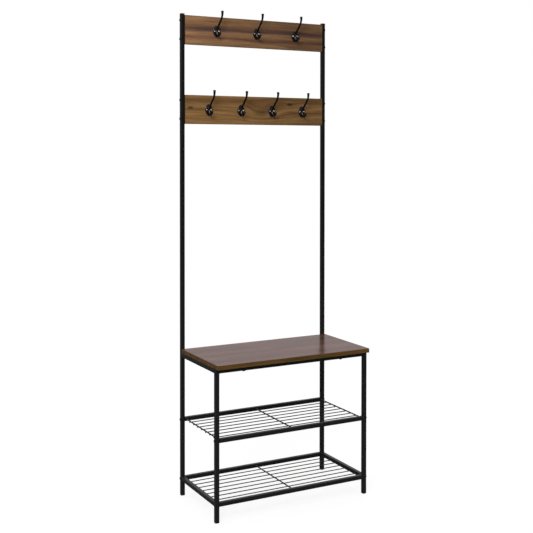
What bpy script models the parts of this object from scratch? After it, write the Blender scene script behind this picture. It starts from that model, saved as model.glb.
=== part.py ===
"""Hall tree: a shoe bench with two wire shelves, two tall rear posts and two rows of coat hooks.

Metres, +Z up, +X to the right and -Y to the front. The origin is on the floor, under the middle
of the whole object. The functions below count from the middle of the tube frame instead, which
lies behind it by half of the seat's overhang, and the parts' parent empty makes that shift.
"""

import math

import bmesh
import bpy
from mathutils import Matrix, Vector

# Driving dimensions.
HEIGHT = 1.800
FRAME_WIDTH = 0.627
FRAME_DEPTH = 0.315
TUBE = 0.015
TUBE_WALL = 0.001
TUBE_CORNER = 0.002
CORNER_SEGMENTS = 3
GAP = 0.0003
WELD_DISTANCE = 0.00001
SHARP_ANGLE = math.radians(46)

# Heights of the top faces of the horizontal tubes.
BENCH_RAIL_TOP = 0.535
MIDDLE_RAIL_TOP = 0.293
BOTTOM_RAIL_TOP = 0.071

# Rear posts: a lower leg and an upper post that plugs into it.
POST_JOINT = 0.557
SPIGOT_LENGTH = 0.040
SPIGOT_SIDE = 0.0124
SPIGOT_WALL = 0.001
SHOULDER = 0.003

# Plastic end caps.
TOP_CAP = 0.003
FOOT_CAP = 0.005
CAP_PLUG_SIDE = 0.0124
CAP_PLUG_LENGTH = 0.012
CAP_ROUNDING = 0.0008

# Wooden parts.
SEAT_THICKNESS = 0.016
SEAT_FRONT_OVERHANG = 0.017
SEAT_REAR_CLEARANCE = 0.0025
PANEL_THICKNESS = 0.016
PANEL_HEIGHT = 0.108
PANEL_PROUD = 0.003
UPPER_PANEL_CENTRE = 1.740
LOWER_PANEL_CENTRE = 1.444
BOARD_ROUNDING = 0.001

# Wire grids.
LONG_WIRE = 0.0035
CROSS_WIRE = 0.0050
LONG_WIRE_COUNT = 7
LONG_WIRE_PITCH = 0.035
LONG_WIRE_DROP = 0.0095
WIRE_BITE = 0.0004
END_CROSS_WIRE_INSET = 0.0035
WIRE_SIDES = 8

# Fasteners.
SHANK_RADIUS = 0.0030
HOLE_RADIUS = SHANK_RADIUS + GAP
HEAD_RADIUS = 0.0053
HEAD_HEIGHT = 0.0034
SOCKET_RADIUS = 0.0020
SOCKET_DEPTH = 0.0016
RAIL_END_PLATE = 0.003
RAIL_BOLT_BITE = 0.009
PANEL_BOLT_BITE = 0.020
PANEL_BOLT_OFFSET = 0.035
SEAT_SCREW_X = 0.201
SEAT_SCREW_BITE = 0.011
FASTENER_SIDES = 12

# Coat hooks: the screw line is the hook's origin, on the face of the panel.
UPPER_HOOK_COUNT = 3
UPPER_HOOK_PITCH = 0.170
LOWER_HOOK_COUNT = 4
LOWER_HOOK_PITCH = 0.135
HOOK_PLATE_THICKNESS = 0.0048
HOOK_PLATE_EDGE = 0.0012
HOOK_PLATE_TOP = 0.0215
HOOK_PLATE_BOTTOM = -0.0226
HOOK_PLATE_HALF_WIDTH = 0.0145
HOOK_PLATE_TAPER = 0.25
UPPER_ROD_RADIUS = 0.0034
LOWER_ROD_RADIUS = 0.0032
HOOK_TIP_RADIUS = 0.0046
HOOK_TIP_FLATNESS = 0.6
HOOK_SCREW_X = 0.0092
HOOK_SCREW_RADIUS = 0.0031
HOOK_SCREW_HEIGHT = 0.0018

# Worked out from the sizes above.
POST_X = (FRAME_WIDTH - TUBE) / 2
POST_Y = (FRAME_DEPTH - TUBE) / 2
INNER_X = POST_X - TUBE / 2
INNER_Y = POST_Y - TUBE / 2
RAIL_LENGTH_X = 2 * (INNER_X - GAP)
RAIL_LENGTH_Y = 2 * (INNER_Y - GAP)
BORE = TUBE - 2 * TUBE_WALL
SEAT_REAR = INNER_Y - SEAT_REAR_CLEARANCE
PANEL_FRONT = INNER_Y - PANEL_PROUD
REAR_BENCH_RAIL_Y = SEAT_REAR - GAP - TUBE / 2

ALONG_X = Matrix.Rotation(math.radians(90), 4, "Y")
ALONG_Y = Matrix.Rotation(math.radians(-90), 4, "X")
ALONG_Z = Matrix.Identity(4)


def clear_scene():
    for item in list(bpy.data.objects):
        bpy.data.objects.remove(item, do_unlink=True)


def new_collection(name):
    collection = bpy.data.collections.new(name)
    bpy.context.scene.collection.children.link(collection)
    return collection


def new_material(name, colour, metallic, roughness):
    material = bpy.data.materials.new(name)
    material.use_nodes = True
    shader = material.node_tree.nodes["Principled BSDF"]
    shader.inputs["Base Color"].default_value = (*colour, 1.0)
    shader.inputs["Metallic"].default_value = metallic
    shader.inputs["Roughness"].default_value = roughness
    material.diffuse_color = (*colour, 1.0)
    return material


clear_scene()
PARTS = new_collection("hall_tree")
CUTTERS = new_collection("cutters")
FRAME_CENTRE = bpy.data.objects.new("frame_centre", None)
PARTS.objects.link(FRAME_CENTRE)
FRAME_CENTRE.location = (0.0, SEAT_FRONT_OVERHANG / 2, 0.0)

BLACK_STEEL = new_material("black_powder_coat", (0.012, 0.012, 0.013), 0.0, 0.45)
BLACK_PLASTIC = new_material("black_plastic", (0.010, 0.010, 0.010), 0.0, 0.55)
SEAT_WOOD = new_material("seat_walnut", (0.16, 0.085, 0.045), 0.0, 0.35)
PANEL_WOOD = new_material("panel_walnut", (0.19, 0.10, 0.050), 0.0, 0.45)
HOOK_METAL = new_material("hook_black_nickel", (0.030, 0.026, 0.024), 0.8, 0.35)
BOLT_METAL = new_material("black_zinc_bolt", (0.020, 0.020, 0.021), 0.6, 0.45)


# Building blocks.

def add_part(name, mesh, material, placement):
    part = bpy.data.objects.new(name, mesh)
    PARTS.objects.link(part)
    if not mesh.materials:
        mesh.materials.append(material)
    part.parent = FRAME_CENTRE
    part.matrix_basis = placement
    return part


def add_cutter(name, mesh, placement):
    cutter = bpy.data.objects.new(name, mesh)
    CUTTERS.objects.link(cutter)
    cutter.parent = FRAME_CENTRE
    cutter.matrix_basis = placement
    cutter.hide_render = True
    cutter.display_type = "WIRE"
    return cutter


def add_boolean(part, other, operation):
    modifier = part.modifiers.new(operation.lower() + "_" + other.name, "BOOLEAN")
    modifier.object = other
    modifier.operation = operation
    modifier.solver = "EXACT"


def cut(part, name, mesh, placement):
    add_boolean(part, add_cutter(name, mesh, placement), "DIFFERENCE")


def join(part, name, mesh, placement):
    add_boolean(part, add_cutter(name, mesh, placement), "UNION")


def finish_mesh(builder, name):
    mesh = bpy.data.meshes.new(name)
    builder.to_mesh(mesh)
    builder.free()
    return mesh


def box_mesh(name, size_x, size_y, size_z):
    builder = bmesh.new()
    bmesh.ops.create_cube(builder, size=1.0)
    bmesh.ops.scale(builder, vec=(size_x, size_y, size_z), verts=builder.verts)
    return finish_mesh(builder, name)


def bar_mesh(name, side, length, corner):
    """A square bar along Z, centred on the origin, with its four long edges rounded."""
    builder = bmesh.new()
    bmesh.ops.create_cube(builder, size=1.0)
    bmesh.ops.scale(builder, vec=(side, side, length), verts=builder.verts)
    long_edges = [
        edge for edge in builder.edges
        if abs(edge.verts[0].co.z - edge.verts[1].co.z) > length / 2
    ]
    bmesh.ops.bevel(
        builder,
        geom=long_edges,
        offset=corner,
        segments=CORNER_SEGMENTS,
        profile=0.5,
        affect="EDGES",
    )
    return finish_mesh(builder, name)


def rod_mesh(name, radius, length, sides):
    """A round rod along Z, centred on the origin and turned so that flats face X and Y."""
    builder = bmesh.new()
    bmesh.ops.create_cone(
        builder,
        cap_ends=True,
        segments=sides,
        radius1=radius,
        radius2=radius,
        depth=length,
        matrix=Matrix.Rotation(math.pi / sides, 4, "Z"),
    )
    return finish_mesh(builder, name)


def shade_round(mesh):
    mesh.shade_smooth()
    mesh.set_sharp_from_angle(angle=SHARP_ANGLE)


def evaluated_mesh(item, name):
    """The item's mesh in its parent's axes, with its modifiers or curve bevel worked out."""
    bpy.context.view_layer.update()
    graph = bpy.context.evaluated_depsgraph_get()
    mesh = bpy.data.meshes.new_from_object(item.evaluated_get(graph), depsgraph=graph)
    mesh.name = name
    mesh.transform(item.matrix_basis)
    bpy.data.objects.remove(item, do_unlink=True)
    return mesh


def welded_curve(curve, name):
    """The curve as a mesh whose caps are welded to its sides."""
    item = bpy.data.objects.new(name, curve)
    PARTS.objects.link(item)
    mesh = evaluated_mesh(item, name)
    builder = bmesh.new()
    builder.from_mesh(mesh)
    bmesh.ops.remove_doubles(builder, verts=builder.verts, dist=WELD_DISTANCE)
    builder.to_mesh(mesh)
    builder.free()
    return mesh


def place(direction, x, y, z):
    return Matrix.Translation(Vector((x, y, z))) @ direction


# Square tubes.

def open_tube(name, direction, length, x, y, z):
    """A square tube, open at both ends."""
    mesh = bar_mesh(name, TUBE, length, TUBE_CORNER)
    shade_round(mesh)
    placement = place(direction, x, y, z)
    tube = add_part(name, mesh, BLACK_STEEL, placement)
    bore = box_mesh(name + "_bore", BORE, BORE, length + 2 * TUBE)
    cut(tube, name + "_bore", bore, placement)
    return tube


def plated_tube(name, length, y, z):
    """A square tube along X, whose welded end plates each take one bolt."""
    mesh = bar_mesh(name, TUBE, length, TUBE_CORNER)
    shade_round(mesh)
    placement = place(ALONG_X, 0, y, z)
    tube = add_part(name, mesh, BLACK_STEEL, placement)
    hollow = box_mesh(name + "_hollow", BORE, BORE, length - 2 * RAIL_END_PLATE)
    cut(tube, name + "_hollow", hollow, placement)
    holes = rod_mesh(name + "_bolt_holes", HOLE_RADIUS, length + TUBE, FASTENER_SIDES)
    cut(tube, name + "_bolt_holes", holes, placement)


def drill(part, name, direction, x, y, z, length):
    hole = rod_mesh(name, HOLE_RADIUS, length, FASTENER_SIDES)
    cut(part, name, hole, place(direction, x, y, z))


def leg_between(name, x, y, bottom, top):
    return open_tube(name, ALONG_Z, top - bottom, x, y, (top + bottom) / 2)


def drill_leg_for_shelves(leg, x, y):
    for level, rail_top in (("middle", MIDDLE_RAIL_TOP), ("bottom", BOTTOM_RAIL_TOP)):
        drill(leg, leg.name + "_" + level + "_hole", ALONG_X, x, y, rail_top - TUBE / 2, 2 * TUBE)


def front_leg(side, x):
    leg = leg_between("front_leg_" + side, x, -POST_Y, FOOT_CAP + GAP, BENCH_RAIL_TOP)
    drill_leg_for_shelves(leg, x, -POST_Y)


def rear_leg(side, x):
    leg = leg_between("rear_leg_" + side, x, POST_Y, FOOT_CAP + GAP, POST_JOINT)
    drill_leg_for_shelves(leg, x, POST_Y)


def upper_post(side, x):
    """The tall rear tube. A reduced spigot at its foot plugs into the rear leg."""
    name = "upper_post_" + side
    bottom = POST_JOINT + GAP
    top = HEIGHT - TOP_CAP - GAP
    mesh = bar_mesh(name, TUBE, top - bottom, TUBE_CORNER)
    shade_round(mesh)
    post = add_part(name, mesh, BLACK_STEEL, place(ALONG_Z, x, POST_Y, (top + bottom) / 2))

    spigot_top = bottom + SHOULDER / 2
    spigot_length = SPIGOT_LENGTH + SHOULDER / 2
    spigot = bar_mesh(name + "_spigot", SPIGOT_SIDE, spigot_length, TUBE_CORNER)
    join(post, name + "_spigot", spigot, place(ALONG_Z, x, POST_Y, spigot_top - spigot_length / 2))

    bore_bottom = bottom + SHOULDER
    bore_top = top + TUBE
    bore = box_mesh(name + "_bore", BORE, BORE, bore_top - bore_bottom)
    cut(post, name + "_bore", bore, place(ALONG_Z, x, POST_Y, (bore_top + bore_bottom) / 2))
    throat_side = SPIGOT_SIDE - 2 * SPIGOT_WALL
    throat_length = 2 * SPIGOT_LENGTH + 2 * SHOULDER
    throat = box_mesh(name + "_throat", throat_side, throat_side, throat_length)
    throat_top = bore_bottom + SHOULDER
    cut(post, name + "_throat", throat, place(ALONG_Z, x, POST_Y, throat_top - throat_length / 2))

    for row, centre in (("upper", UPPER_PANEL_CENTRE), ("lower", LOWER_PANEL_CENTRE)):
        for end, offset in (("top", PANEL_BOLT_OFFSET), ("bottom", -PANEL_BOLT_OFFSET)):
            hole = "_".join((name, row, end, "hole"))
            drill(post, hole, ALONG_X, x, POST_Y, centre + offset, 2 * TUBE)


def end_cap(name, x, y, z, plate, plug_direction):
    """A plate over a tube's end, with its outer rim rounded and a plug that goes into the bore."""
    mesh = bar_mesh(name, TUBE, plate, TUBE_CORNER)
    cap = add_part(name, mesh, BLACK_PLASTIC, place(ALONG_Z, x, y, z))
    builder = bmesh.new()
    builder.from_mesh(mesh)
    outer_face = -plug_direction * plate / 2
    rim = [
        edge for edge in builder.edges
        if all(abs(vertex.co.z - outer_face) < GAP for vertex in edge.verts)
    ]
    bmesh.ops.bevel(builder, geom=rim, offset=CAP_ROUNDING, segments=2, profile=0.5, affect="EDGES")
    builder.to_mesh(mesh)
    builder.free()
    shade_round(mesh)
    plug_length = CAP_PLUG_LENGTH + plate / 2
    plug = box_mesh(name + "_plug", CAP_PLUG_SIDE, CAP_PLUG_SIDE, plug_length)
    join(cap, name + "_plug", plug, place(ALONG_Z, x, y, z + plug_direction * plug_length / 2))


def legs_posts_and_caps():
    for side, x in (("left", -POST_X), ("right", POST_X)):
        front_leg(side, x)
        rear_leg(side, x)
        upper_post(side, x)
        end_cap("post_cap_" + side, x, POST_Y, HEIGHT - TOP_CAP / 2, TOP_CAP, -1)
        end_cap("front_foot_" + side, x, -POST_Y, FOOT_CAP / 2, FOOT_CAP, 1)
        end_cap("rear_foot_" + side, x, POST_Y, FOOT_CAP / 2, FOOT_CAP, 1)


def bench_frame():
    """The four rails under the seat. The front and rear ones are drilled for the seat screws."""
    z = BENCH_RAIL_TOP - TUBE / 2
    front = open_tube("bench_rail_front", ALONG_X, RAIL_LENGTH_X, 0, -POST_Y, z)
    rear = open_tube("bench_rail_rear", ALONG_X, RAIL_LENGTH_X, 0, REAR_BENCH_RAIL_Y, z)
    for rail, y in ((front, -POST_Y), (rear, REAR_BENCH_RAIL_Y)):
        for side, x in (("left", -SEAT_SCREW_X), ("right", SEAT_SCREW_X)):
            drill(rail, "_".join((rail.name, side, "hole")), ALONG_Z, x, y, z, 2 * TUBE)
    open_tube("bench_rail_left", ALONG_Y, RAIL_LENGTH_Y, -POST_X, 0, z)
    open_tube("bench_rail_right", ALONG_Y, RAIL_LENGTH_Y, POST_X, 0, z)


def shelf_rails():
    middle = MIDDLE_RAIL_TOP - TUBE / 2
    bottom = BOTTOM_RAIL_TOP - TUBE / 2
    for end, y in (("front", -POST_Y), ("rear", POST_Y)):
        plated_tube("middle_rail_" + end, RAIL_LENGTH_X, y, middle)
        plated_tube("bottom_rail_" + end, RAIL_LENGTH_X, y, bottom)
    open_tube("bottom_rail_left", ALONG_Y, RAIL_LENGTH_Y, -POST_X, 0, bottom)
    open_tube("bottom_rail_right", ALONG_Y, RAIL_LENGTH_Y, POST_X, 0, bottom)


def wire_grid(name, rail_top, half_length, cross_positions):
    """Seven long wires welded under the cross wires that run between the two rails."""
    long_z = rail_top - LONG_WIRE_DROP
    cross_z = long_z + (LONG_WIRE + CROSS_WIRE) / 2 - WIRE_BITE
    cross_length = RAIL_LENGTH_Y
    first = rod_mesh(name, CROSS_WIRE / 2, cross_length, WIRE_SIDES)
    grid = add_part(name, first, BLACK_STEEL, place(ALONG_Y, cross_positions[0], 0, cross_z))
    for number, x in enumerate(cross_positions[1:], start=2):
        wire = name + "_cross_" + str(number)
        mesh = rod_mesh(wire, CROSS_WIRE / 2, cross_length, WIRE_SIDES)
        join(grid, wire, mesh, place(ALONG_Y, x, 0, cross_z))
    for number in range(LONG_WIRE_COUNT):
        y = (number - (LONG_WIRE_COUNT - 1) / 2) * LONG_WIRE_PITCH
        wire = name + "_long_" + str(number + 1)
        mesh = rod_mesh(wire, LONG_WIRE / 2, 2 * half_length, WIRE_SIDES)
        join(grid, wire, mesh, place(ALONG_X, 0, y, long_z))
    mesh = evaluated_mesh(grid, name)
    shade_round(mesh)
    add_part(name, mesh, BLACK_STEEL, Matrix.Identity(4))


def wire_shelves():
    end_x = INNER_X - END_CROSS_WIRE_INSET
    wire_grid("middle_wire_grid", MIDDLE_RAIL_TOP, end_x + CROSS_WIRE / 2, (0, -end_x, end_x))
    wire_grid("bottom_wire_grid", BOTTOM_RAIL_TOP, INNER_X - GAP, (0,))


# Wooden parts.

def board(name, size_x, size_y, size_z, x, y, z, material):
    """A flat board with all its edges eased."""
    part = add_part(name, box_mesh(name, size_x, size_y, size_z), material, place(ALONG_Z, x, y, z))
    bevel = part.modifiers.new("eased_edges", "BEVEL")
    bevel.width = BOARD_ROUNDING
    bevel.segments = 2
    bevel.limit_method = "ANGLE"
    return part


def seat():
    front = -POST_Y - TUBE / 2 - SEAT_FRONT_OVERHANG
    depth = SEAT_REAR - front
    underside = BENCH_RAIL_TOP + GAP
    centre_y = (SEAT_REAR + front) / 2
    centre_z = underside + SEAT_THICKNESS / 2
    part = board("seat_board", FRAME_WIDTH, depth, SEAT_THICKNESS, 0, centre_y, centre_z, SEAT_WOOD)
    hole_depth = SEAT_SCREW_BITE + GAP
    for end, y in (("front", -POST_Y), ("rear", REAR_BENCH_RAIL_Y)):
        for side, x in (("left", -SEAT_SCREW_X), ("right", SEAT_SCREW_X)):
            drill(part, "_".join(("seat", end, side, "hole")), ALONG_Z, x, y, underside, 2 * hole_depth)


def hook_panels():
    centre_y = PANEL_FRONT + PANEL_THICKNESS / 2
    hole_length = 2 * (PANEL_BOLT_BITE + GAP)
    for row, centre_z in (("upper", UPPER_PANEL_CENTRE), ("lower", LOWER_PANEL_CENTRE)):
        name = row + "_hook_panel"
        part = board(
            name, RAIL_LENGTH_X, PANEL_THICKNESS, PANEL_HEIGHT, 0, centre_y, centre_z, PANEL_WOOD
        )
        for side, x in (("left", -INNER_X), ("right", INNER_X)):
            for end, offset in (("top", PANEL_BOLT_OFFSET), ("bottom", -PANEL_BOLT_OFFSET)):
                hole = "_".join((name, side, end, "hole"))
                drill(part, hole, ALONG_X, x, POST_Y, centre_z + offset, hole_length)


# Fasteners.

def fastener_mesh(name, shank_length):
    """A button-head bolt: the underside of its head is at the origin and its shank runs along -Z."""
    dome_steps = 3
    outline = [(0.0, HEAD_HEIGHT)]
    for step in range(1, dome_steps + 1):
        angle = math.radians(90 * step / dome_steps)
        outline.append((HEAD_RADIUS * math.sin(angle), HEAD_HEIGHT * math.cos(angle)))
    outline += [(SHANK_RADIUS, 0.0), (SHANK_RADIUS, -shank_length), (0.0, -shank_length)]
    profile = bpy.data.meshes.new(name + "_profile")
    edges = [(number, number + 1) for number in range(len(outline) - 1)]
    profile.from_pydata([(radius, 0.0, height) for radius, height in outline], edges, [])
    turned = add_part(name + "_turned", profile, BOLT_METAL, Matrix.Identity(4))
    screw = turned.modifiers.new("turn", "SCREW")
    screw.steps = FASTENER_SIDES
    screw.render_steps = FASTENER_SIDES
    screw.use_merge_vertices = True
    screw.merge_threshold = WELD_DISTANCE
    socket = rod_mesh(name + "_socket", SOCKET_RADIUS, 2 * SOCKET_DEPTH, 6)
    cut(turned, name + "_socket", socket, place(ALONG_Z, 0, 0, HEAD_HEIGHT))
    mesh = evaluated_mesh(turned, name)
    shade_round(mesh)
    return mesh


def outward(side):
    """Turns a fastener so that its head faces away from the middle along X."""
    return Matrix.Rotation(math.radians(90 if side == "right" else -90), 4, "Y")


def shelf_bolts():
    mesh = fastener_mesh("shelf_bolt", TUBE + RAIL_BOLT_BITE)
    for level, rail_top in (("middle", MIDDLE_RAIL_TOP), ("bottom", BOTTOM_RAIL_TOP)):
        for end, y in (("front", -POST_Y), ("rear", POST_Y)):
            for side, x in (("left", -1), ("right", 1)):
                name = "_".join((level, "bolt", end, side))
                face = x * (FRAME_WIDTH / 2 + GAP)
                add_part(name, mesh, BOLT_METAL, place(outward(side), face, y, rail_top - TUBE / 2))


def panel_bolts():
    mesh = fastener_mesh("panel_bolt", TUBE + PANEL_BOLT_BITE)
    for row, centre in (("upper", UPPER_PANEL_CENTRE), ("lower", LOWER_PANEL_CENTRE)):
        for end, offset in (("top", PANEL_BOLT_OFFSET), ("bottom", -PANEL_BOLT_OFFSET)):
            for side, x in (("left", -1), ("right", 1)):
                name = "_".join((row, "panel_bolt", end, side))
                face = x * (FRAME_WIDTH / 2 + GAP)
                add_part(name, mesh, BOLT_METAL, place(outward(side), face, POST_Y, centre + offset))


def seat_screws():
    mesh = fastener_mesh("seat_screw", TUBE + SEAT_SCREW_BITE)
    head_up = Matrix.Rotation(math.radians(180), 4, "X")
    z = BENCH_RAIL_TOP - TUBE - GAP
    for end, y in (("front", -POST_Y), ("rear", REAR_BENCH_RAIL_Y)):
        for side, x in (("left", -SEAT_SCREW_X), ("right", SEAT_SCREW_X)):
            add_part("_".join(("seat_screw", end, side)), mesh, BOLT_METAL, place(head_up, x, y, z))


# Coat hooks, modelled with the panel's face at y = 0 and the front along -Y.

def hook_plate():
    """The domed plate: an egg outline, wide at the screws and narrower above and below."""
    curve = bpy.data.curves.new("hook_plate", "CURVE")
    curve.dimensions = "2D"
    curve.fill_mode = "BOTH"
    curve.extrude = HOOK_PLATE_THICKNESS / 2 - HOOK_PLATE_EDGE
    curve.bevel_depth = HOOK_PLATE_EDGE
    curve.bevel_resolution = 1
    curve.offset = -HOOK_PLATE_EDGE
    spline = curve.splines.new("POLY")
    count = 20
    spline.points.add(count - 1)
    for number, point in enumerate(spline.points):
        angle = 2 * math.pi * number / count
        reach = HOOK_PLATE_TOP if math.sin(angle) > 0 else -HOOK_PLATE_BOTTOM
        taper = 1 - HOOK_PLATE_TAPER * math.sin(angle) ** 2
        point.co = (HOOK_PLATE_HALF_WIDTH * taper * math.cos(angle), reach * math.sin(angle), 0.0, 1.0)
    spline.use_cyclic_u = True
    return welded_curve(curve, "hook_plate")


def hook_rod(name, radius, route):
    """A round rod through the route's (forward, up) points."""
    curve = bpy.data.curves.new(name, "CURVE")
    curve.dimensions = "3D"
    curve.bevel_depth = radius
    curve.bevel_resolution = 2
    curve.resolution_u = 3
    curve.use_fill_caps = True
    spline = curve.splines.new("BEZIER")
    spline.bezier_points.add(len(route) - 1)
    for point, (forward, up) in zip(spline.bezier_points, route):
        point.co = (0.0, -forward, up)
        point.handle_left_type = "AUTO"
        point.handle_right_type = "AUTO"
    return welded_curve(curve, name)


def ball_mesh(name, radius, flatness):
    builder = bmesh.new()
    bmesh.ops.create_uvsphere(builder, u_segments=10, v_segments=6, radius=radius)
    bmesh.ops.scale(builder, vec=(1.0, 1.0, flatness), verts=builder.verts)
    return finish_mesh(builder, name)


def hook_mesh():
    """One casting: the plate, the long upper prong, the short lower prong and two screw heads."""
    upper_route = (
        (0.0048, -0.0070),
        (0.0055, 0.0010),
        (0.0115, 0.0107),
        (0.0197, 0.0192),
        (0.0318, 0.0303),
        (0.0435, 0.0418),
        (0.0500, 0.0525),
        (0.0520, 0.0690),
    )
    lower_route = (
        (0.0048, 0.0040),
        (0.0060, -0.0080),
        (0.0120, -0.0180),
        (0.0215, -0.0198),
        (0.0290, -0.0160),
        (0.0315, -0.0095),
    )
    face_front = Matrix.Rotation(math.radians(90), 4, "X")
    plate_placement = place(face_front, 0, -HOOK_PLATE_THICKNESS / 2 - GAP, 0)
    hook = add_part("hook", hook_plate(), HOOK_METAL, plate_placement)
    upper_rod = hook_rod("hook_upper_rod", UPPER_ROD_RADIUS, upper_route)
    join(hook, "hook_upper_rod", upper_rod, Matrix.Identity(4))
    lower_rod = hook_rod("hook_lower_rod", LOWER_ROD_RADIUS, lower_route)
    join(hook, "hook_lower_rod", lower_rod, Matrix.Identity(4))
    for name, flatness, (forward, up) in (
        ("hook_tip", HOOK_TIP_FLATNESS, upper_route[-1]),
        ("hook_end", 1.0, lower_route[-1]),
    ):
        join(hook, name, ball_mesh(name, HOOK_TIP_RADIUS, flatness), place(ALONG_Z, 0, -forward, up))
    for side, x in (("left", -HOOK_SCREW_X), ("right", HOOK_SCREW_X)):
        name = "hook_screw_" + side
        head = ball_mesh(name, HOOK_SCREW_RADIUS, HOOK_SCREW_HEIGHT / HOOK_SCREW_RADIUS)
        join(hook, name, head, place(face_front, x, -HOOK_PLATE_THICKNESS, 0))
    mesh = evaluated_mesh(hook, "coat_hook")
    shade_round(mesh)
    return mesh


def coat_hooks():
    mesh = hook_mesh()
    rows = (
        ("upper", UPPER_PANEL_CENTRE, UPPER_HOOK_PITCH, UPPER_HOOK_COUNT),
        ("lower", LOWER_PANEL_CENTRE, LOWER_HOOK_PITCH, LOWER_HOOK_COUNT),
    )
    for row, z, pitch, count in rows:
        for number in range(count):
            x = (number - (count - 1) / 2) * pitch
            name = row + "_hook_" + str(number + 1)
            add_part(name, mesh, HOOK_METAL, place(ALONG_Z, x, PANEL_FRONT, z))


legs_posts_and_caps()
bench_frame()
shelf_rails()
wire_shelves()
seat()
hook_panels()
shelf_bolts()
panel_bolts()
seat_screws()
coat_hooks()
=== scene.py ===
"""Looks of the hall tree: walnut boards, black powder-coated tube, cast hooks and bright screws.

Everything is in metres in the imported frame: +Z up, +X to the right, -Y to the front. Tubes, boards,
wires and caps are the CAD nodes with finer materials. Hooks, screws and bolts are replaced by
smoother pieces on the same places. Weld beads are added round the ends of the welded rails, and
weld nuggets where the shelves' wires cross and end.
"""

import math

import bmesh
import bpy
from mathutils import Matrix, Vector


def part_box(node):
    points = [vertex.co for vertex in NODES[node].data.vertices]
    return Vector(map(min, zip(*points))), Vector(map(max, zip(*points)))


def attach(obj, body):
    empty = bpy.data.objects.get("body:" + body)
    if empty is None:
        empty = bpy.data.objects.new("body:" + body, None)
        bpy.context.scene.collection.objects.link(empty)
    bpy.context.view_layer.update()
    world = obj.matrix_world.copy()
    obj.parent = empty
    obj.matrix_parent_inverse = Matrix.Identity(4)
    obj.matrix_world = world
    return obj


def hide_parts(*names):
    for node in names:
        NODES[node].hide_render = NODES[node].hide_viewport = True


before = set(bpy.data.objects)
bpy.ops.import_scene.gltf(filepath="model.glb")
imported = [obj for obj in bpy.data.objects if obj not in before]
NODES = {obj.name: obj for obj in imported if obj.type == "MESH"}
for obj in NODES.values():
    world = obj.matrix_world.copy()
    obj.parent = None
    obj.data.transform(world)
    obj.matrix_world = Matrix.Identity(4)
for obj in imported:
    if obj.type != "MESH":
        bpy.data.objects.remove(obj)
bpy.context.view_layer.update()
BODY = "root"

# The camera: where it stands, where it looks, and its field.
CAMERA_PLACE = (-1.7032, -3.0990, 1.2980)
CAMERA_AZIMUTH = math.radians(-27.855)
CAMERA_TILT = math.radians(-1.02)
CAMERA_ROLL = math.radians(0.04)
CAMERA_LENS = 64.06
CAMERA_SENSOR = 36.0
CAMERA_SHIFT = (0.0137, -0.1895)

# Light: the studio's radiance all round, and the light that its top, its back and its left side add.
# Each adds none at its range's first number and all at its last: of a direction's Z, of how far it
# points to SKY_BACK_SIDE, and of its X. Then the key light, and the floor.
WHITE = (1.0, 1.0, 1.0)
SKY_ROUND = 0.27
SKY_TOP = 1.30
SKY_TOP_RANGE = (0.15, 0.95)
SKY_BACK = 0.475
SKY_BACK_RANGE = (0.55, 0.92)
SKY_BACK_TONE = (1.0, 0.82, 0.87)
SKY_BACK_SIDE = (0.467, 0.884, 0.0)
SKY_LEFT = 0.08
SKY_LEFT_RANGE = (0.1, -0.9)
KEY_PLACE = (-2.4, -2.9, 3.0)
KEY_TARGET = (0.0, 0.0, 1.2)
KEY_SIZE = 1.8
KEY_POWER = 120.0
FLOOR_SIZE = 60.0
FLOOR_GREY = 0.15
FLOOR_GLOW = 0.82

# Hook casting, from its screw line on the panel's face. A prong's route is its (forward, up, radius)
# points, and the lower one ends in a ball.
PLATE_HALF_WIDTH = 0.0147
PLATE_TOP = 0.0217
PLATE_BOTTOM = 0.0228
PLATE_TAPER = 0.25
PLATE_RIM = 0.0020
PLATE_CROWN = 0.0056
PLATE_BACK = 0.0003
PLATE_RINGS = 8
PLATE_POINTS = 48
TIP_RADIUS = 0.0052
UPPER_PRONG = (
    (0.0040, 0.0010, 0.0030),
    (0.0062, 0.0052, 0.0038),
    (0.0115, 0.0109, 0.0040),
    (0.0197, 0.0192, 0.0039),
    (0.0318, 0.0303, 0.0038),
    (0.0435, 0.0418, 0.0038),
    (0.0498, 0.0520, 0.0039),
    (0.0517, 0.0600, 0.0043),
    (0.0520, 0.0655, 0.0048),
    (0.0520, 0.0697, TIP_RADIUS),
    (0.0520, 0.0714, 0.0044),
)
LOWER_PRONG = (
    (0.0034, 0.0085, 0.0021),
    (0.0043, 0.0030, 0.0028),
    (0.0045, -0.0050, 0.0029),
    (0.0062, -0.0122, 0.0032),
    (0.0125, -0.0182, 0.0034),
    (0.0215, -0.0198, 0.0033),
    (0.0290, -0.0160, 0.0032),
    (0.0315, -0.0095, 0.0034),
)
HOOK_VOXEL = 0.00055
HOOK_SMOOTHING = 8

# Fasteners. A screw sits SCREW_X to the left or right of its hook's middle, SCREW_UP above the screw
# line and SCREW_SEAT in front of the panel.
SCREW_X = 0.0092
SCREW_UP = -0.0008
SCREW_RADIUS = 0.0031
SCREW_HEIGHT = 0.0017
SCREW_SEAT = 0.0044
SCREW_SINK = 0.0008
CROSS_LENGTH = 0.0036
CROSS_WIDTH = 0.0008
CROSS_DEPTH = 0.0010
BOLT_RADIUS = 0.0053
BOLT_HEIGHT = 0.0033
BOLT_RIM = 0.0016
SHANK_RADIUS = 0.0029
SHANK_LENGTH = 0.006
SOCKET_RADIUS = 0.0020
SOCKET_DEPTH = 0.0017
TURNED_STEPS = 32
DOME_STEPS = 8

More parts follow.
